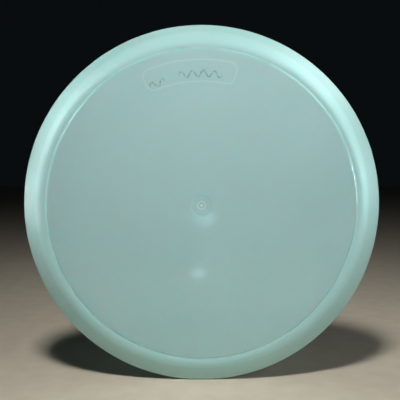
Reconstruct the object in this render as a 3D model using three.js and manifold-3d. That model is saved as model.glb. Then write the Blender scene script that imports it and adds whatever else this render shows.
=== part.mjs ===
// A golf flying disc of the mid-range size, standing on its edge. It is two mouldings and some ink: a flight plate
// with a locking bead round its edge, a rim moulded over that bead, and two pen marks under the plate.
//
// Millimetres. The disc spins about Y. Its domed top faces -Y and its hollow underside faces +Y. X is to the right
// and Z is up for someone facing the top. The origin is on the spin axis, halfway through the disc's height.
//
// Sections are drawn as (radius, height) points, with height 0 at the rim's flat underside. Marks on the plate
// are placed by radius and by angle, in degrees clockwise from the top for someone facing the top.

import * as THREE from 'three';
import { mergeVertices } from 'three/addons/utils/BufferGeometryUtils.js';
import Module from 'manifold-3d';

const wasm = await Module();
wasm.setup();

// Whole disc
const DISC_RADIUS = 108.5;
const DISC_HEIGHT = 19;
const SEGMENTS = 96;

// Flight plate
const PLATE_THICKNESS = 2.3;
const DOME_RISE = 3.6;
const DOME_POWER = 2.5;

// Joint between plate and rim
const JOINT_RADIUS = 93.4;
const JOINT_GAP = 0.15;
const JOINT_CHAMFER = 0.25;
const TONGUE_THICKNESS = 1.2;
const BEAD_RING_RADIUS = 97.4;
const BEAD_HEIGHT = 12.6;
const BEAD_THICKNESS = 2.4;

// Gate mark at the middle of the top face
const DOT_RADIUS = 0.6;
const GATE_RING_RADIUS = 2.3;
const GATE_RING_WIDTH = 0.5;
const GATE_DEPTH = 0.35;
const DISH_RADIUS = 6.3;
const DISH_DEPTH = 0.15;

// Rim
const NOSE_HEIGHT = 8;
const NOSE_RADIUS = 1.2;
const NOSE_ANGLE = 41;
const WING_ANGLE = 57;
const SHOULDER_START = 5.2;
const SHOULDER_END = 7.5;
const FOOT_RADIUS = 101.4;
const WALL_RADIUS = 95.5;
const WALL_DRAFT = 0.4;
const CORNER_RADIUS = 0.8;
const FILLET_RADIUS = 4.4;
const TOE_THICKNESS = 0.35;

// Name panel, a raised outline under the plate
const PANEL_ANGLE = -5;
const PANEL_SPAN = 40;
const PANEL_INNER_RADIUS = 73.6;
const PANEL_OUTER_RADIUS = 87.5;
const PANEL_CORNER = 5;
const PANEL_LINE = 0.8;
const PANEL_RELIEF = 0.25;

// Pen marks in the name panel
const INK_WIDTH = 0.9;
const INK_WAVE_HEIGHT = 1.8;
const INK_WAVE_LENGTH = 6.6;
const INK_GAP = 0.05;
const INK_THICKNESS = 0.15;
const INK_MARKS = [
  { name: 'ink_mark_short', from: -23.5, to: -16.5, radius: 77.2 },
  { name: 'ink_mark_long', from: -10, to: 9, radius: 78.6 },
];

const PLATE_PLASTIC = { color: 0x9fc4c3, roughness: 0.32, metalness: 0 };
const RIM_PLASTIC = { color: 0xb4dad5, roughness: 0.36, metalness: 0 };
const INK = { color: 0x26302f, roughness: 0.6, metalness: 0 };

const radians = THREE.MathUtils.degToRad;
const at = (radius, height) => new THREE.Vector2(radius, height);

const plateTop = (radius) => DISC_HEIGHT - DOME_RISE * (radius / JOINT_RADIUS) ** DOME_POWER;
const plateUnder = (radius) => plateTop(radius) - PLATE_THICKNESS;

// A point on the disc's face, as X and Z.
const onFace = (degrees, radius) => {
  return new THREE.Vector2(radius * Math.sin(radians(degrees)), radius * Math.cos(radians(degrees)));
};

function arc(centre, radius, fromDegrees, toDegrees, steps) {
  const clockwise = toDegrees < fromDegrees;
  const [from, to] = [radians(fromDegrees), radians(toDegrees)];
  return new THREE.EllipseCurve(centre.x, centre.y, radius, radius, from, to, clockwise).getPoints(steps);
}

// Points along a face of the plate, evenly spaced between two radii.
function faceLine(heightAt, fromRadius, toRadius, steps) {
  return Array.from({ length: steps + 1 }, (_, i) => {
    const radius = THREE.MathUtils.lerp(fromRadius, toRadius, i / steps);
    return at(radius, heightAt(radius));
  });
}

// Turns a section about the spin axis.
function turned(section) {
  const points = section.map((p) => new THREE.Vector2(p.x, DISC_HEIGHT / 2 - p.y));
  return new THREE.LatheGeometry(points, SEGMENTS);
}

function solidOf(geometry) {
  const bare = geometry.clone();
  bare.deleteAttribute('normal');
  bare.deleteAttribute('uv');
  const merged = mergeVertices(bare);
  const corners = [];
  for (let i = 0; i < merged.index.count; i += 3) {
    const [a, b, c] = [0, 1, 2].map((k) => merged.index.getX(i + k));
    if (a !== b && b !== c && c !== a) {
      corners.push(a, b, c);
    }
  }
  const vertProperties = new Float32Array(merged.attributes.position.array);
  const triVerts = new Uint32Array(corners);
  return new wasm.Manifold(new wasm.Mesh({ numProp: 3, vertProperties, triVerts }));
}

function geometryOf(solid) {
  const { vertProperties, triVerts } = solid.getMesh();
  const geometry = new THREE.BufferGeometry();
  geometry.setAttribute('position', new THREE.BufferAttribute(vertProperties, 3));
  geometry.setIndex(new THREE.BufferAttribute(triVerts, 1));
  geometry.computeVertexNormals();
  return geometry;
}

// The moulded gate, from the axis outwards: a dot, a ring round it and a shallow dish round both.
function gateSection() {
  const floor = DISC_HEIGHT - GATE_DEPTH;
  const dish = DISC_HEIGHT - DISH_DEPTH;
  const ringInside = GATE_RING_RADIUS - GATE_RING_WIDTH / 2;
  const ringOutside = GATE_RING_RADIUS + GATE_RING_WIDTH / 2;
  return [
    at(0, dish),
    at(DOT_RADIUS, dish),
    at(DOT_RADIUS, floor),
    at(ringInside, floor),
    at(ringInside, DISC_HEIGHT),
    at(ringOutside, DISC_HEIGHT),
    at(ringOutside, dish),
    at(DISH_RADIUS - DISH_DEPTH, dish),
  ];
}

// The plate's edge past the joint line, or with a clearance the groove that holds it: a tongue that dips under the
// rim's lip and ends in a round bead.
function edgeSection(clearance) {
  const tongueTop = plateTop(JOINT_RADIUS) - TONGUE_THICKNESS;
  return [
    at(JOINT_RADIUS, tongueTop + clearance),
    ...arc(at(BEAD_RING_RADIUS, BEAD_HEIGHT), BEAD_THICKNESS / 2 + clearance, 85, -175, 7),
    at(JOINT_RADIUS, plateUnder(JOINT_RADIUS) - clearance),
  ];
}

// Cuts an outline on the disc's face out of the layer between two depths below the plate's underside.
function layerUnderPlate(outline, nearDepth, farDepth) {
  const [inner, outer] = [PANEL_INNER_RADIUS - PANEL_CORNER, PANEL_OUTER_RADIUS + PANEL_LINE];
  const near = faceLine((radius) => plateUnder(radius) - nearDepth, inner, outer, 5);
  const far = faceLine((radius) => plateUnder(radius) - farDepth, outer, inner, 5);
  const prism = new THREE.ExtrudeGeometry(outline, { depth: DISC_HEIGHT, bevelEnabled: false });
  prism.rotateX(Math.PI / 2);
  prism.translate(0, DISC_HEIGHT / 2, 0);
  return solidOf(turned([...near, ...far, near[0]])).intersect(solidOf(prism));
}

// The name panel's outline, a rounded rectangle bent round the disc.
function panelOutline(inset) {
  const middle = (PANEL_INNER_RADIUS + PANEL_OUTER_RADIUS) / 2;
  const corner = PANEL_CORNER - inset;
  const x = (middle * radians(PANEL_SPAN)) / 2 - PANEL_CORNER;
  const y = (PANEL_OUTER_RADIUS - PANEL_INNER_RADIUS) / 2 - PANEL_CORNER;
  const flat = new THREE.Path();
  flat.absarc(x, y, corner, 0, Math.PI / 2);
  flat.absarc(-x, y, corner, Math.PI / 2, Math.PI);
  flat.absarc(-x, -y, corner, Math.PI, 1.5 * Math.PI);
  flat.absarc(x, -y, corner, 1.5 * Math.PI, 2 * Math.PI);
  flat.closePath();
  const points = flat.getSpacedPoints(72).slice(0, -1);
  return points.map((p) => onFace(PANEL_ANGLE + THREE.MathUtils.radToDeg(p.x / middle), middle + p.y));
}

// A wavy pen stroke that says nothing.
function strokeOutline({ from, to, radius }) {
  const length = radius * radians(to - from);
  const steps = Math.round((8 * length) / INK_WAVE_LENGTH);
  const edge = (side) => {
    return Array.from({ length: steps + 1 }, (_, i) => {
      const turn = (2 * Math.PI * length * i) / (steps * INK_WAVE_LENGTH);
      const slope = ((2 * Math.PI * INK_WAVE_HEIGHT) / INK_WAVE_LENGTH) * Math.cos(turn);
      const reach = (side * INK_WIDTH) / 2 / Math.hypot(1, slope);
      const along = THREE.MathUtils.lerp(from, to, i / steps) - THREE.MathUtils.radToDeg((slope * reach) / radius);
      return onFace(along, radius + INK_WAVE_HEIGHT * Math.sin(turn) + reach);
    });
  };
  return [...edge(1), ...edge(-1).reverse()];
}

function flightPlate() {
  const edge = JOINT_RADIUS - JOINT_GAP;
  const toe = WALL_RADIUS - WALL_DRAFT - FILLET_RADIUS - JOINT_GAP;
  const body = turned([
    ...gateSection(),
    ...faceLine(plateTop, DISH_RADIUS, edge - JOINT_CHAMFER, 6),
    at(edge, plateTop(edge) - JOINT_CHAMFER),
    at(edge, plateTop(JOINT_RADIUS) - TONGUE_THICKNESS),
    ...edgeSection(0).slice(1),
    at(toe, plateUnder(toe) + TOE_THICKNESS + JOINT_GAP),
    ...faceLine(plateUnder, toe, 0, 6),
  ]);
  const panel = new THREE.Shape(panelOutline(0));
  panel.holes.push(new THREE.Path(panelOutline(PANEL_LINE)));
  return geometryOf(solidOf(body).add(layerUnderPlate(panel, -PANEL_RELIEF, PANEL_RELIEF)));
}

function rim() {
  const lip = at(JOINT_RADIUS + JOINT_CHAMFER, plateTop(JOINT_RADIUS + JOINT_CHAMFER));
  const nose = at(DISC_RADIUS - NOSE_RADIUS, NOSE_HEIGHT);
  const noseTop = arc(nose, NOSE_RADIUS, WING_ANGLE, 0, 1)[0];
  const lipSlope = (plateTop(lip.x) - plateTop(lip.x - 1)) * SHOULDER_START;
  const shoulder = new THREE.CubicBezierCurve(
    lip,
    at(lip.x + SHOULDER_START, lip.y + lipSlope),
    at(
      noseTop.x - SHOULDER_END * Math.sin(radians(WING_ANGLE)),
      noseTop.y + SHOULDER_END * Math.cos(radians(WING_ANGLE)),
    ),
    noseTop,
  );
  const wall = WALL_RADIUS - WALL_DRAFT;
  const toe = wall - FILLET_RADIUS;
  const section = [
    ...shoulder.getPoints(7),
    ...arc(nose, NOSE_RADIUS, WING_ANGLE, -NOSE_ANGLE, 5).slice(1),
    ...arc(at(FOOT_RADIUS, CORNER_RADIUS), CORNER_RADIUS, -NOSE_ANGLE, -90, 2),
    ...arc(at(WALL_RADIUS + CORNER_RADIUS, CORNER_RADIUS), CORNER_RADIUS, -90, -180, 3),
    ...arc(at(toe, plateUnder(toe) - FILLET_RADIUS), FILLET_RADIUS, 0, 90, 5),
    at(toe, plateUnder(toe) + TOE_THICKNESS),
    ...edgeSection(JOINT_GAP).reverse(),
    at(JOINT_RADIUS, lip.y - JOINT_CHAMFER),
    lip,
  ];
  return turned(section);
}

function inkMark(mark) {
  const outline = new THREE.Shape(strokeOutline(mark));
  return geometryOf(layerUnderPlate(outline, INK_GAP, INK_GAP + INK_THICKNESS));
}

const disc = new THREE.Group();

function addPart(name, geometry, look) {
  const mesh = new THREE.Mesh(geometry, new THREE.MeshStandardMaterial(look));
  mesh.name = name;
  disc.add(mesh);
}

addPart('flight_plate', flightPlate(), PLATE_PLASTIC);
addPart('rim', rim(), RIM_PLASTIC);
INK_MARKS.forEach((mark) => addPart(mark.name, inkMark(mark), INK));

export default disc;
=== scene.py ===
"""A golf flying disc standing on its edge: a translucent flight plate, the rim moulded over it, and
pen marks under the plate. Everything is in metres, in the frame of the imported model: the disc spins
about Y, its domed top faces -Y, and Z is up. Heights in a section are measured from the rim's foot."""

import math

import bpy
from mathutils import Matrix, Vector

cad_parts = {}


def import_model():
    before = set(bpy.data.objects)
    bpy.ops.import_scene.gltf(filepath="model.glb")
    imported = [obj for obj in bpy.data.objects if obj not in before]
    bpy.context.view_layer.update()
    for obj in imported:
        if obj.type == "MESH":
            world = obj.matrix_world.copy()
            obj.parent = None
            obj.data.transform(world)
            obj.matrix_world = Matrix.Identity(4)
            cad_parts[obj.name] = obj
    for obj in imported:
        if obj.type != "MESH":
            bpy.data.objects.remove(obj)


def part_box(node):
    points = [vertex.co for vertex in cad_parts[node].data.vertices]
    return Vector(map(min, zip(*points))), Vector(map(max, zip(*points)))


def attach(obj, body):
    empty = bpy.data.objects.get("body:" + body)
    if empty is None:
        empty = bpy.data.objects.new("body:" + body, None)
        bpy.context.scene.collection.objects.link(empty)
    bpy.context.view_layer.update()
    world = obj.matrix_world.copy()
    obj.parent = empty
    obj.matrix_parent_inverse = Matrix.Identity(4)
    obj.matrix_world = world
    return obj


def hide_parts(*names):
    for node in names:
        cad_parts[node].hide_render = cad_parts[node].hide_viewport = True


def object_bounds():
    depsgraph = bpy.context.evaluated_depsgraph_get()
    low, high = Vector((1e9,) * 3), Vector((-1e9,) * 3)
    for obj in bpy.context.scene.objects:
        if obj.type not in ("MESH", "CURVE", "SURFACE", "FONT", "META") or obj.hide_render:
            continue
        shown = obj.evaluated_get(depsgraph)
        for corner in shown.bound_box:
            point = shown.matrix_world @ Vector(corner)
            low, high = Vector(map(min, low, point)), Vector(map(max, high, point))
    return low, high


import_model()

CAD_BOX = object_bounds()
MM = 0.001

# The disc's main sizes, from the frame
RIM_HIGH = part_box("rim")[1]
PLATE_LOW, PLATE_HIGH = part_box("flight_plate")
DISC_RADIUS = RIM_HIGH.z
FOOT_Y = RIM_HIGH.y
TOP_Y = PLATE_LOW.y
DISC_HEIGHT = FOOT_Y - TOP_Y
BEAD_OUTER_RADIUS = PLATE_HIGH.z

# Flight plate. The joint's radius was fitted, with the camera, to the photograph.
PLATE_THICKNESS = 2.3 * MM
JOINT_RADIUS = 93.4 * MM
DOME_RISE = 3.6 * MM
DOME_POWER = 2.5
JOINT_GAP = 0.15 * MM
TONGUE_THICKNESS = 1.2 * MM
BEAD_THICKNESS = 2.4 * MM
BEAD_HEIGHT = 12.6 * MM
BEAD_START_ANGLE = 85
BEAD_END_ANGLE = -175

# Rim
NOSE_HEIGHT = 8 * MM
NOSE_RADIUS = 1.2 * MM
NOSE_ANGLE = 41
WING_ANGLE = 57
SHOULDER_START = 3.2 * MM
SHOULDER_SLOPE = 0.02
SHOULDER_END = 7.5 * MM
FOOT_RADIUS = 101.4 * MM
WALL_RADIUS = 95.5 * MM
WALL_DRAFT = 0.4 * MM
CORNER_RADIUS = 0.8 * MM
FILLET_RADIUS = 4.4 * MM
TOE_THICKNESS = 0.35 * MM

# The plate's rounded edge, and the groove beside it in the rim
SEAM = 0.02 * MM
EDGE_ROUNDING = 1.1 * MM
EDGE_START_ANGLE = 84
EDGE_ANGLE = 59
EDGE_LEAD = 0.5 * MM
GROOVE_WIDTH = 2.2 * MM
GROOVE_FLOOR = 0.8 * MM
GROOVE_DROP = 0.1 * MM
GROOVE_LIFT = 0.06 * MM
FALL_HANDLE = 0.3
FALL_DROP = 0.9
RISE_START = 0.5 * MM
RISE_END = 0.8 * MM

# Name panel
PANEL_ANGLE = -5
PANEL_SPAN = 40
PANEL_INNER_RADIUS = 73.6 * MM
PANEL_OUTER_RADIUS = 87.5 * MM
PANEL_CORNER = 5 * MM
PANEL_LINE = 0.8 * MM
PANEL_RELIEF = 0.25 * MM
PANEL_ROOT = -0.05 * MM
PANEL_STEP = 1.2 * MM

# Pen marks: where each starts and ends in degrees, and its radius
SHORT_MARK = (-23.5, -16.5, 77.2 * MM)
LONG_MARK = (-10, 9, 78.6 * MM)
WAVE_LENGTH = 6.6 * MM
WAVE_HEIGHT = 1.8 * MM
STROKE_WIDTH = 0.9 * MM
STROKE_NEAR = 0.05 * MM
STROKE_FAR = 0.17 * MM
STROKE_STEP = 0.25 * MM
STROKE_SWELL = 0.25
STROKE_SWELL_TURN = 9
STROKE_TAPER = 12
STROKE_TIP = 0.15
RIBBON_TAPER = 0.8

# Gate mark
GATE_DOT_RADIUS = 0.6 * MM
GATE_RING_RADIUS = 2.3 * MM
GATE_RING_WIDTH = 0.5 * MM
GATE_DEPTH = 0.35 * MM
GATE_SOFTNESS = 0.12 * MM
DISH_RADIUS = 6.3 * MM
DISH_DEPTH = 0.15 * MM
DISH_MARGIN = 1 * MM

# How finely the meshes are divided
SEGMENTS = 384
FACE_STEPS = 40
SHOULDER_STEPS = 40
ROUND_STEPS = 20
EDGE_STEPS = 10
FALL_STEPS = 8
RISE_STEPS = 10
OUTER_CORNER_STEPS = 8
INNER_CORNER_STEPS = 10
PANEL_CORNER_STEPS = 14
SOFT_STEPS = 3
SOFT_SHARE = 0.45
SOFT_LIMIT = 160
SHARP_ANGLE = 40
ON_AXIS = 1e-9

# Colours of the plastics: the lighter and the darker side of each one's clouds
PLATE_COLOURS = ((0.53, 0.765, 0.785), (0.50, 0.735, 0.755))
RIM_COLOURS = ((0.48, 0.75, 0.76), (0.45, 0.72, 0.73))
LINE_COLOURS = ((0.66, 0.88, 0.86), (0.62, 0.86, 0.84))
INK_COLOURS = ((0.012, 0.02, 0.02), (0.06, 0.08, 0.075))
FLOOR_COLOURS = ((0.62, 0.57, 0.47), (0.56, 0.51, 0.42))
SKIN_TINT = (0.5, 1.0, 0.98, 1.0)
SCATTER_RADIUS = (0.6, 1.0, 0.95)

# Tints laid over the plastics, with their strengths: the ring's is a painted highlight, the nose's and the
# dish's are painted shade
# The joint ring's tint is a painted highlight
PAINTED_RING_HIGHLIGHT = ((0.5, 1.0, 1.0), 0.95)
# The nose's tint is painted shade, darker towards the nose
PAINTED_NOSE_SHADE = ((0.40, 0.63, 0.62), 1)
# The dish's tint is painted shade in the gate mark's dish
PAINTED_DISH_SHADE = ((0.40, 0.62, 0.60), 0.1)
GATE_TINT = ((0.80, 1.0, 0.99), 1)
PANEL_TINT = ((0.75, 0.95, 0.93), 0.35)
MARK_TINT = ((0.10, 0.17, 0.15), 0.6)

# Where the tints lie, and how far their edges fade
RING_OFFSET = 0.15 * MM
RING_WIDTH = 1.8 * MM
NOSE_SHADE_START = 97.5 * MM
FADE = 0.3 * MM
PANEL_FADE = 0.25 * MM
DISH_FADE = 0.8 * MM

# Fine variation, in waves per metre
CLOUD_WAVES = 22
SCUFF_WAVES = 120
RIPPLE_WAVES = 180
FAINT_WEAR_WAVES = 700
FAINTEST_WEAR = 0.2
FAINT_WEAR_SOURCE = (0.4, 0.6)
INK_WEAR_WAVES = 900
FLOOR_WAVES = 60
SCUFF_SMOOTHER = 0.03
SCUFF_ROUGHER = 0.05
RIPPLE_STRENGTH = 0.25
RIPPLE_DEPTH = 0.02 * MM

# A colour Mix node's sockets
MIX_FACTOR = 0
MIX_FIRST = 6
MIX_SECOND = 7
MIX_RESULT = 2

# Camera. Its elevation, aim and lens were fitted to where the disc lies in the photograph.
CAMERA_DISTANCE = 0.475
CAMERA_ELEVATION = 3.61
CAMERA_AIM = (-0.92 * MM, 0, 2.79 * MM)
CAMERA_LENS = 70.12
SENSOR_WIDTH = 36

# Floor, background and lamps
FLOOR_HALF_SIZE = 3.0
BACKGROUND = (0.003, 0.004, 0.0045, 1)
LAMP_DISTANCE = 0.8
WHITE = (1, 1, 1)
WARM = (1, 0.97, 0.93)
COOL = (0.93, 0.98, 1)


# ---------------------------------------------------------------- sections

def plate_top(radius):
    return DISC_HEIGHT - DOME_RISE * (radius / JOINT_RADIUS) ** DOME_POWER


def plate_under(radius):
    return plate_top(radius) - PLATE_THICKNESS


def arc(centre, radius, start, end, steps):
    """Points round a circle in a section, from one angle to another in degrees."""
    angles = [math.radians(start + (end - start) * i / steps) for i in range(steps + 1)]
    return [(centre[0] + radius * math.cos(a), centre[1] + radius * math.sin(a)) for a in angles]


def bezier(a, b, c, d, steps):
    points = []
    for i in range(steps + 1):
        t = i / steps
        u = 1 - t
        weights = (u ** 3, 3 * u * u * t, 3 * u * t * t, t ** 3)
        points.append(tuple(sum(w * p[k] for w, p in zip(weights, (a, b, c, d))) for k in (0, 1)))
    return points


def face_line(height_at, start, end):
    radii = [start + (end - start) * i / FACE_STEPS for i in range(FACE_STEPS + 1)]
    return [(r, height_at(r)) for r in radii]


def softened(section, cut):
    """The section with each of its corners rounded over a length of at most cut."""
    result = [section[0]]
    for before, corner, after in zip(section, section[1:], section[2:]):
        middle = Vector(corner)
        into = Vector(before) - middle
        out = Vector(after) - middle
        if into.angle(out, math.pi) > math.radians(SOFT_LIMIT):
            result.append(corner)
            continue
        start = middle + into.normalized() * min(cut, into.length * SOFT_SHARE)
        end = middle + out.normalized() * min(cut, out.length * SOFT_SHARE)
        for i in range(SOFT_STEPS + 1):
            t = i / SOFT_STEPS
            result.append(tuple(start * (1 - t) ** 2 + middle * 2 * t * (1 - t) + end * t * t))
    return result + [section[-1]]


def turned(name, section, closed):
    """A mesh made by turning a section of (radius, height) points about the spin axis."""
    verts = []
    faces = []
    rings = []
    for radius, height in section:
        y = FOOT_Y - height
        if radius < ON_AXIS:
            rings.append([len(verts)])
            verts.append((0, y, 0))
            continue
        rings.append(list(range(len(verts), len(verts) + SEGMENTS)))
        for i in range(SEGMENTS):
            angle = 2 * math.pi * i / SEGMENTS
            verts.append((radius * math.sin(angle), y, radius * math.cos(angle)))
    pairs = list(zip(rings, rings[1:]))
    if closed:
        pairs.append((rings[-1], rings[0]))
    for first, second in pairs:
        for i in range(SEGMENTS):
            j = (i + 1) % SEGMENTS
            corners = [ring[k % len(ring)] for ring, k in ((first, i), (second, i), (second, j), (first, j))]
            face = list(dict.fromkeys(corners))
            if len(face) > 2:
                faces.append(face)
    return mesh_object(name, verts, faces)


def mesh_object(name, verts, faces):
    mesh = bpy.data.meshes.new(name)
    mesh.from_pydata(verts, [], faces)
    mesh.validate()
    mesh.shade_smooth()
    mesh.set_sharp_from_angle(angle=math.radians(SHARP_ANGLE))
    piece = bpy.data.objects.new(name, mesh)
    bpy.context.scene.collection.objects.link(piece)
    return piece


# ---------------------------------------------------------------- materials

def material(name, plain_colour, **values):
    """A new material and its one Principled shader, with the given values set on the shader."""
    made = bpy.data.materials.new(name)
    made.use_nodes = True
    made.diffuse_color = plain_colour
    shader = made.node_tree.nodes["Principled BSDF"]
    for socket, value in values.items():
        shader.inputs[socket.replace("_", " ")].default_value = value
    return made, shader


def is_socket(value):
    return isinstance(value, bpy.types.NodeSocket)


def node(made, kind, inputs=None, **settings):
    added = made.node_tree.nodes.new(kind)
    for key, value in settings.items():
        setattr(added, key, value)
    for key, value in (inputs or {}).items():
        if is_socket(value):
            made.node_tree.links.new(value, added.inputs[key])
        else:
            added.inputs[key].default_value = value
    return added


def noise(made, scale, detail):
    """3-D noise on the object's own coordinates, in waves per metre."""
    where = node(made, "ShaderNodeTexCoord").outputs["Object"]
    waves = node(made, "ShaderNodeTexNoise", {"Vector": where, "Scale": scale, "Detail": detail})
    return waves.outputs["Fac"]


def spread(made, value, low, high, source=(0.3, 0.7)):
    """A value spread from the source range over a new range."""
    return node(made, "ShaderNodeMapRange", {
        "Value": value, "From Min": source[0], "From Max": source[1], "To Min": low, "To Max": high,
    }).outputs["Result"]


def maths(made, operation, *values):
    return node(made, "ShaderNodeMath", dict(enumerate(values)), operation=operation).outputs[0]


def mixed_colour(made, factor, first, second):
    """A mix of two colours, each of them a socket or three numbers."""
    sides = {
        socket: colour if is_socket(colour) else (*colour, 1)
        for socket, colour in ((MIX_FIRST, first), (MIX_SECOND, second))
    }
    return node(made, "ShaderNodeMix", {MIX_FACTOR: factor, **sides}, data_type="RGBA").outputs[MIX_RESULT]


def tinted(made, colour, mask, tint):
    tint_colour, strength = tint
    return mixed_colour(made, maths(made, "MULTIPLY", mask, strength), colour, tint_colour)


def length_of(made, first, second):
    """The length of a vector with two parts."""
    squares = (maths(made, "MULTIPLY", first, first), maths(made, "MULTIPLY", second, second))
    return maths(made, "SQRT", maths(made, "ADD", *squares))


def polar(made):
    """The radius from the spin axis, and the angle in radians clockwise from the top."""
    where = node(made, "ShaderNodeTexCoord").outputs["Object"]
    split = node(made, "ShaderNodeSeparateXYZ", {"Vector": where})
    x = split.outputs["X"]
    z = split.outputs["Z"]
    return length_of(made, x, z), maths(made, "ARCTAN2", x, z)


def line_mask(made, distance, width, fade=FADE):
    """1 on a line of a given width, fading to 0 at its edges, from the distance to its middle."""
    away = maths(made, "ABSOLUTE", distance)
    return spread(made, away, 0, 1, (width / 2 + fade, width / 2 - fade))


def panel_mask(made, radius, angle):
    """The rounded outline of the name panel."""
    middle = (PANEL_INNER_RADIUS + PANEL_OUTER_RADIUS) / 2
    half_length = middle * math.radians(PANEL_SPAN) / 2
    half_width = (PANEL_OUTER_RADIUS - PANEL_INNER_RADIUS) / 2
    turn = maths(made, "MULTIPLY_ADD", angle, middle, -middle * math.radians(PANEL_ANGLE))
    along = maths(made, "ABSOLUTE", turn)
    across = maths(made, "ABSOLUTE", maths(made, "SUBTRACT", radius, middle))
    past_end = maths(made, "SUBTRACT", along, half_length - PANEL_CORNER)
    past_side = maths(made, "SUBTRACT", across, half_width - PANEL_CORNER)
    end = maths(made, "MAXIMUM", past_end, 0)
    side = maths(made, "MAXIMUM", past_side, 0)
    within = maths(made, "MINIMUM", maths(made, "MAXIMUM", past_end, past_side), 0)
    from_corner = maths(made, "ADD", length_of(made, end, side), within)
    outline = maths(made, "SUBTRACT", from_corner, PANEL_CORNER - PANEL_LINE / 2)
    return line_mask(made, outline, PANEL_LINE, PANEL_FADE)


def stroke_mask(made, radius, angle, start, end, mark_radius):
    """The wavy line of one pen mark."""
    turns = 2 * math.pi * (mark_radius / WAVE_LENGTH)
    phase = maths(made, "MULTIPLY_ADD", angle, turns, -turns * math.radians(start))
    middle = maths(made, "MULTIPLY_ADD", maths(made, "SINE", phase), WAVE_HEIGHT, mark_radius)
    steepest = 2 * math.pi * WAVE_HEIGHT / WAVE_LENGTH
    slope = maths(made, "MULTIPLY", maths(made, "COSINE", phase), steepest)
    stretch = maths(made, "SQRT", maths(made, "MULTIPLY_ADD", slope, slope, 1))
    distance = maths(made, "DIVIDE", maths(made, "SUBTRACT", radius, middle), stretch)
    centre = math.radians(start + end) / 2
    half = math.radians(end - start) / 2
    from_centre = maths(made, "ABSOLUTE", maths(made, "SUBTRACT", angle, centre))
    inside = maths(made, "LESS_THAN", from_centre, half)
    return maths(made, "MULTIPLY", line_mask(made, distance, STROKE_WIDTH), inside)


def aqua_plastic(name, colours, transmission, scatter_depth, skin, shine=0.5, marked=False, nose=False):
    """Soft translucent polyurethane, cloudy inside, whose moulded skin has fine ripples and scuffs.
    The skin's roughness stays close to the number given for it."""
    light, dark = colours
    made, shader = material(
        name, (*light, 1),
        Transmission_Weight=transmission,
        Subsurface_Weight=1.0,
        Subsurface_Radius=SCATTER_RADIUS,
        Subsurface_Scale=scatter_depth,
        IOR=1.5,
        Specular_IOR_Level=shine,
        Specular_Tint=SKIN_TINT,
        Coat_Weight=0.06,
        Coat_Roughness=0.06,
    )
    colour = mixed_colour(made, spread(made, noise(made, CLOUD_WAVES, 4), 0, 1), light, dark)
    radius, angle = polar(made)
    # Painted highlight: the joint ring is lightened in the colour
    from_ring_highlight = maths(made, "SUBTRACT", radius, JOINT_RADIUS + RING_OFFSET)
    colour = tinted(made, colour, line_mask(made, from_ring_highlight, RING_WIDTH), PAINTED_RING_HIGHLIGHT)
    if nose:
        # Painted shade: the rim is darkened towards the nose
        nose_shade = spread(made, radius, 0, 1, (NOSE_SHADE_START, DISC_RADIUS))
        colour = tinted(made, colour, nose_shade, PAINTED_NOSE_SHADE)
    if marked:
        colour = marks_showing_through(made, colour, radius, angle)
    scuffs = spread(made, noise(made, SCUFF_WAVES, 3), skin - SCUFF_SMOOTHER, skin + SCUFF_ROUGHER)
    ripple = node(made, "ShaderNodeBump", {
        "Height": noise(made, RIPPLE_WAVES, 4), "Strength": RIPPLE_STRENGTH, "Distance": RIPPLE_DEPTH,
    })
    links = made.node_tree.links
    links.new(colour, shader.inputs["Base Color"])
    links.new(scuffs, shader.inputs["Roughness"])
    links.new(ripple.outputs["Normal"], shader.inputs["Normal"])
    return made


def marks_showing_through(made, colour, radius, angle):
    """The gate mark's dish, darkened a little as painted shade, its ring and dot, and the panel outline and
    pen marks seen faintly through the cloudy plate."""
    # Painted shade: the dish round the gate mark is darkened a little
    dish = spread(made, radius, 0, 1, (DISH_RADIUS, DISH_RADIUS - DISH_FADE))
    colour = tinted(made, colour, dish, PAINTED_DISH_SHADE)
    from_gate_ring = maths(made, "SUBTRACT", radius, GATE_RING_RADIUS)
    gate_ring = line_mask(made, from_gate_ring, GATE_RING_WIDTH)
    gate_dot = spread(made, radius, 0, 1, (GATE_DOT_RADIUS + FADE, GATE_DOT_RADIUS))
    colour = tinted(made, colour, maths(made, "MAXIMUM", gate_ring, gate_dot), GATE_TINT)
    colour = tinted(made, colour, panel_mask(made, radius, angle), PANEL_TINT)
    wear = spread(made, noise(made, FAINT_WEAR_WAVES, 3), FAINTEST_WEAR, 1, FAINT_WEAR_SOURCE)
    for mark in (SHORT_MARK, LONG_MARK):
        faint = maths(made, "MULTIPLY", stroke_mask(made, radius, angle, *mark), wear)
        colour = tinted(made, colour, faint, MARK_TINT)
    return colour


def pen_ink():
    made, shader = material("pen_ink", (0.03, 0.04, 0.04, 1), Specular_IOR_Level=0.3)
    wear = noise(made, INK_WEAR_WAVES, 4)
    colour = mixed_colour(made, spread(made, wear, 0, 1), *INK_COLOURS)
    links = made.node_tree.links
    links.new(colour, shader.inputs["Base Color"])
    links.new(spread(made, wear, 0.4, 0.7), shader.inputs["Roughness"])
    return made


# ---------------------------------------------------------------- pieces

def shown(piece, finish, slot, *replaced):
    piece.data.materials.append(finish)
    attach(piece, "root")
    if replaced:
        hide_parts(*replaced)
    return piece


def edge_section(clearance):
    """The tongue and bead that hold the plate in the rim."""
    tongue_top = plate_top(JOINT_RADIUS) - TONGUE_THICKNESS
    bead_middle = (BEAD_OUTER_RADIUS - BEAD_THICKNESS / 2, BEAD_HEIGHT)
    bead_radius = BEAD_THICKNESS / 2 + clearance
    return [
        (JOINT_RADIUS, tongue_top + clearance),
        *arc(bead_middle, bead_radius, BEAD_START_ANGLE, BEAD_END_ANGLE, ROUND_STEPS),
        (JOINT_RADIUS, plate_under(JOINT_RADIUS) - clearance),
    ]


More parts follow.
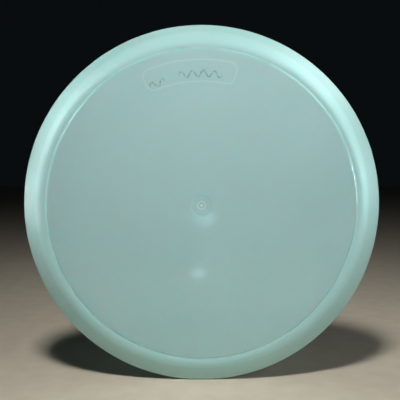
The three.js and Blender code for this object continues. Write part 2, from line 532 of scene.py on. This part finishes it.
def gate_section():
    bottom = DISC_HEIGHT - GATE_DEPTH
    dish = DISC_HEIGHT - DISH_DEPTH
    inside = GATE_RING_RADIUS - GATE_RING_WIDTH / 2
    outside = GATE_RING_RADIUS + GATE_RING_WIDTH / 2
    beyond = DISH_RADIUS + DISH_MARGIN
    return softened([
        (0, dish),
        (GATE_DOT_RADIUS, dish),
        (GATE_DOT_RADIUS, bottom),
        (inside, bottom),
        (inside, DISC_HEIGHT),
        (outside, DISC_HEIGHT),
        (outside, dish),
        (DISH_RADIUS - DISH_DEPTH, dish),
        (DISH_RADIUS, plate_top(DISH_RADIUS)),
        (beyond, plate_top(beyond)),
    ], GATE_SOFTNESS)


def flight_plate():
    start = JOINT_RADIUS - SEAM - EDGE_ROUNDING * math.cos(math.radians(EDGE_ANGLE))
    rounding_middle = (start, plate_top(start) - EDGE_ROUNDING)
    toe = WALL_RADIUS - WALL_DRAFT - FILLET_RADIUS - JOINT_GAP
    return turned("flight_plate_moulding", [
        *gate_section(),
        *face_line(plate_top, DISH_RADIUS + 2 * DISH_MARGIN, start - EDGE_LEAD),
        *arc(rounding_middle, EDGE_ROUNDING, EDGE_START_ANGLE, EDGE_ANGLE, EDGE_STEPS),
        (JOINT_RADIUS - SEAM, plate_top(JOINT_RADIUS) - TONGUE_THICKNESS),
        *edge_section(0)[1:],
        (toe, plate_under(toe) + TOE_THICKNESS + JOINT_GAP),
        *face_line(plate_under, toe, 0),
    ], closed=False)


def rim_top():
    """The groove beside the plate, the shoulder, and the slope down to the nose."""
    seam_drop = EDGE_ROUNDING * (1 - math.sin(math.radians(EDGE_ANGLE)))
    seam = (JOINT_RADIUS, plate_top(JOINT_RADIUS) - seam_drop)
    trough = (JOINT_RADIUS + GROOVE_FLOOR, seam[1] - GROOVE_DROP)
    lip = (JOINT_RADIUS + GROOVE_WIDTH, trough[1] + GROOVE_LIFT)
    nose = (DISC_RADIUS - NOSE_RADIUS, NOSE_HEIGHT)
    nose_top = arc(nose, NOSE_RADIUS, WING_ANGLE, 0, 1)[0]
    lean = math.radians(WING_ANGLE)
    fall = bezier(
        seam,
        (seam[0] + FALL_HANDLE * GROOVE_FLOOR, seam[1] - FALL_DROP * GROOVE_DROP),
        (trough[0] - FALL_HANDLE * GROOVE_FLOOR, trough[1]),
        trough,
        FALL_STEPS,
    )
    rise = bezier(
        trough,
        (trough[0] + RISE_START, trough[1]),
        (lip[0] - RISE_END, lip[1]),
        lip,
        RISE_STEPS,
    )
    shoulder = bezier(
        lip,
        (lip[0] + SHOULDER_START, lip[1] - SHOULDER_SLOPE * SHOULDER_START),
        (nose_top[0] - SHOULDER_END * math.sin(lean), nose_top[1] + SHOULDER_END * math.cos(lean)),
        nose_top,
        SHOULDER_STEPS,
    )
    round_nose = arc(nose, NOSE_RADIUS, WING_ANGLE, -NOSE_ANGLE, ROUND_STEPS)
    return [*fall[:-1], *rise[:-1], *shoulder, *round_nose[1:]]


def rim():
    toe = WALL_RADIUS - WALL_DRAFT - FILLET_RADIUS
    outer_corner = (FOOT_RADIUS, CORNER_RADIUS)
    inner_corner = (WALL_RADIUS + CORNER_RADIUS, CORNER_RADIUS)
    fillet = (toe, plate_under(toe) - FILLET_RADIUS)
    return turned("rim_moulding", [
        *rim_top(),
        *arc(outer_corner, CORNER_RADIUS, -NOSE_ANGLE, -90, OUTER_CORNER_STEPS),
        *arc(inner_corner, CORNER_RADIUS, -90, -180, INNER_CORNER_STEPS),
        *arc(fillet, FILLET_RADIUS, 0, 90, ROUND_STEPS),
        (toe, plate_under(toe) + TOE_THICKNESS),
        *reversed(edge_section(JOINT_GAP)),
    ], closed=True)


def on_plate(degrees, radius, depth):
    """A point at a depth below the plate's underside."""
    angle = math.radians(degrees)
    return (radius * math.sin(angle), FOOT_Y - plate_under(radius) + depth, radius * math.cos(angle))


def ribbon(name, line, width_at, near, far, closed):
    """A flat strip under the plate that follows a line of (degrees, radius) points."""
    verts = []
    faces = []
    count = len(line)
    for i, (degrees, radius) in enumerate(line):
        before = line[i - 1] if closed or i else line[i]
        after = line[(i + 1) % count] if closed or i < count - 1 else line[i]
        forward = (math.radians(after[0] - before[0]) * radius, after[1] - before[1])
        along = Vector(forward).normalized()
        half = width_at(i / (count - 1)) / 2
        for side in (-1, 1):
            across = math.degrees(-along.y * side * half / radius)
            outwards = along.x * side * half
            verts.append(on_plate(degrees + across, radius + outwards, near))
            far_degrees = degrees + across * RIBBON_TAPER
            verts.append(on_plate(far_degrees, radius + outwards * RIBBON_TAPER, far))
    for i in range(count if closed else count - 1):
        a = 4 * i
        b = 4 * ((i + 1) % count)
        for p, q in ((0, 1), (1, 3), (3, 2), (2, 0)):
            faces.append((a + p, a + q, b + q, b + p))
    if not closed:
        last = 4 * (count - 1)
        faces.append((0, 2, 3, 1))
        faces.append((last, last + 1, last + 3, last + 2))
    return mesh_object(name, verts, faces)


def name_panel():
    """The panel's outline, laid out flat and then bent round the disc."""
    middle = (PANEL_INNER_RADIUS + PANEL_OUTER_RADIUS) / 2
    corner = PANEL_CORNER - PANEL_LINE / 2
    x = middle * math.radians(PANEL_SPAN) / 2 - PANEL_CORNER
    y = (PANEL_OUTER_RADIUS - PANEL_INNER_RADIUS) / 2 - PANEL_CORNER
    corners = [(x, y, 90, 0), (x, -y, 0, -90), (-x, -y, -90, -180), (-x, y, 180, 90)]
    flat = []
    for (cx, cy, start, end), (nx, ny, *_) in zip(corners, corners[1:] + corners[:1]):
        bend = arc((cx, cy), corner, start, end, PANEL_CORNER_STEPS)
        flat += bend
        ahead = (nx - cx, ny - cy)
        steps = round(math.hypot(*ahead) / PANEL_STEP)
        for i in range(1, steps):
            flat.append((bend[-1][0] + ahead[0] * i / steps, bend[-1][1] + ahead[1] * i / steps))
    line = [(PANEL_ANGLE + math.degrees(u / middle), middle + v) for u, v in flat]
    return ribbon("name_panel_line", line, lambda _: PANEL_LINE, PANEL_ROOT, PANEL_RELIEF, closed=True)


def stroke_width(t):
    """The pen line's width, from one end (0) to the other (1)."""
    swell = 1 - STROKE_SWELL + STROKE_SWELL * math.sin(STROKE_SWELL_TURN * t)
    tip = min(1, STROKE_TAPER * t + STROKE_TIP, STROKE_TAPER * (1 - t) + STROKE_TIP)
    return STROKE_WIDTH * swell * tip


def pen_mark(name, start, end, radius):
    """A wavy pen stroke that says nothing."""
    length = radius * math.radians(end - start)
    steps = round(length / STROKE_STEP)
    line = []
    for i in range(steps + 1):
        t = i / steps
        turn = 2 * math.pi * length * t / WAVE_LENGTH
        line.append((start + (end - start) * t, radius + WAVE_HEIGHT * math.sin(turn)))
    return ribbon(name, line, stroke_width, STROKE_NEAR, STROKE_FAR, closed=False)


plate_plastic = aqua_plastic(
    "plate_plastic", PLATE_COLOURS, transmission=0.25, scatter_depth=1.8 * MM, skin=0.1, marked=True,
)
rim_plastic = aqua_plastic(
    "rim_plastic", RIM_COLOURS, transmission=0.1, scatter_depth=2 * MM, skin=0.46, shine=1, nose=True,
)
line_plastic = aqua_plastic(
    "panel_line_plastic", LINE_COLOURS, transmission=0.1, scatter_depth=1 * MM, skin=0.4,
)
ink = pen_ink()

shown(flight_plate(), plate_plastic, "plate_plastic", "flight_plate")
shown(name_panel(), line_plastic, "plate_plastic", "flight_plate")
shown(rim(), rim_plastic, "rim_plastic", "rim")
shown(pen_mark("pen_mark_short", *SHORT_MARK), ink, "pen_ink", "ink_mark_short")
shown(pen_mark("pen_mark_long", *LONG_MARK), ink, "pen_ink", "ink_mark_long")


# ---------------------------------------------------------------- stage

def floor():
    half = FLOOR_HALF_SIZE
    corners = [(-half, -half, 0), (half, -half, 0), (half, half, 0), (-half, half, 0)]
    mesh = bpy.data.meshes.new("floor")
    mesh.from_pydata(corners, [], [(0, 1, 2, 3)])
    made = bpy.data.objects.new("floor", mesh)
    made.location = (0, 0, CAD_BOX[0][2])
    bpy.context.scene.collection.objects.link(made)
    finish, shader = material("floor_board", (0.7, 0.66, 0.6, 1), Roughness=0.9, Specular_IOR_Level=0.0)
    colour = mixed_colour(finish, spread(finish, noise(finish, FLOOR_WAVES, 6), 0, 1), *FLOOR_COLOURS)
    finish.node_tree.links.new(colour, shader.inputs["Base Color"])
    mesh.materials.append(finish)


def place(azimuth, elevation, distance=LAMP_DISTANCE):
    """A point round the disc, at an azimuth (0 is in front of the domed top) and an elevation."""
    a = math.radians(azimuth)
    e = math.radians(elevation)
    return (
        distance * math.sin(a) * math.cos(e),
        -distance * math.cos(a) * math.cos(e),
        distance * math.sin(e),
    )


def turned_to(thing, target):
    """Turn a lamp or the camera to face a point."""
    thing.rotation_euler = (Vector(target) - thing.location).to_track_quat("-Z", "Y").to_euler()


def area_light(name, at, size, watts, light, colour=WHITE, beam=180, aim=(0, 0, 0)):
    """A soft box whose light is only diffuse (it lights surfaces) or only glossy (it is reflected)."""
    data = bpy.data.lights.new(name, "AREA")
    data.shape = "RECTANGLE"
    data.size, data.size_y = size
    data.energy = watts
    data.color = colour
    data.spread = math.radians(beam)
    lamp = bpy.data.objects.new(name, data)
    lamp.location = at
    turned_to(lamp, aim)
    lamp.visible_diffuse = light == "diffuse"
    lamp.visible_glossy = light == "glossy"
    lamp.visible_camera = False
    lamp.visible_transmission = False
    bpy.context.scene.collection.objects.link(lamp)


def camera():
    """In front of the disc's top and a little above its middle."""
    data = bpy.data.cameras.new("camera")
    data.sensor_width = SENSOR_WIDTH
    data.lens = CAMERA_LENS
    made = bpy.data.objects.new("camera", data)
    made.location = place(0, CAMERA_ELEVATION, CAMERA_DISTANCE)
    turned_to(made, CAMERA_AIM)
    bpy.context.scene.collection.objects.link(made)
    bpy.context.scene.camera = made


def world():
    made = bpy.data.worlds.new("studio")
    made.use_nodes = True
    made.node_tree.nodes["Background"].inputs["Color"].default_value = BACKGROUND
    bpy.context.scene.world = made


floor()
world()
camera()
bpy.context.scene.view_settings.view_transform = "Standard"

# Lamps for the surfaces: a key from above, a fill from the right, and a weak one from behind
area_light("key", place(-7, 52), (0.12, 0.12), 1, "diffuse", WARM, beam=76, aim=(0.02, 0.08, -0.05))
area_light("right_fill", place(50, 20), (0.3, 0.3), 1.4, "diffuse")
area_light("back_fill", place(180, -6), (0.4, 0.04), 0.1, "diffuse", COOL, beam=50, aim=(0, 0, 0.03))

# Soft boxes for the reflections: name, azimuth, elevation, size, watts
for name, azimuth, elevation, size, watts in (
    ("left_low", -70, 0, (0.4, 0.2), 2.5),
    ("left_middle", -60, 25, (0.35, 0.35), 5),
    ("left_back", -140, 25, (0.35, 0.35), 1),
    ("right_low", 60, 5, (0.4, 0.2), 4),
    ("right_middle", 45, 35, (0.35, 0.35), 4),
    ("right_high", 75, 45, (0.35, 0.35), 2),
    ("right_back", 140, 25, (0.35, 0.35), 1),
):
    area_light(name, place(azimuth, elevation), size, watts, "glossy")

# Two very small lamps for the two small reflections near the gate mark
area_light("spark_middle", (0.005, -0.6, -0.055), (0.02, 0.006), 0.014, "glossy")
area_light("spark_low", (-0.002, -0.245, -0.09), (0.012, 0.008), 0.002, "glossy")
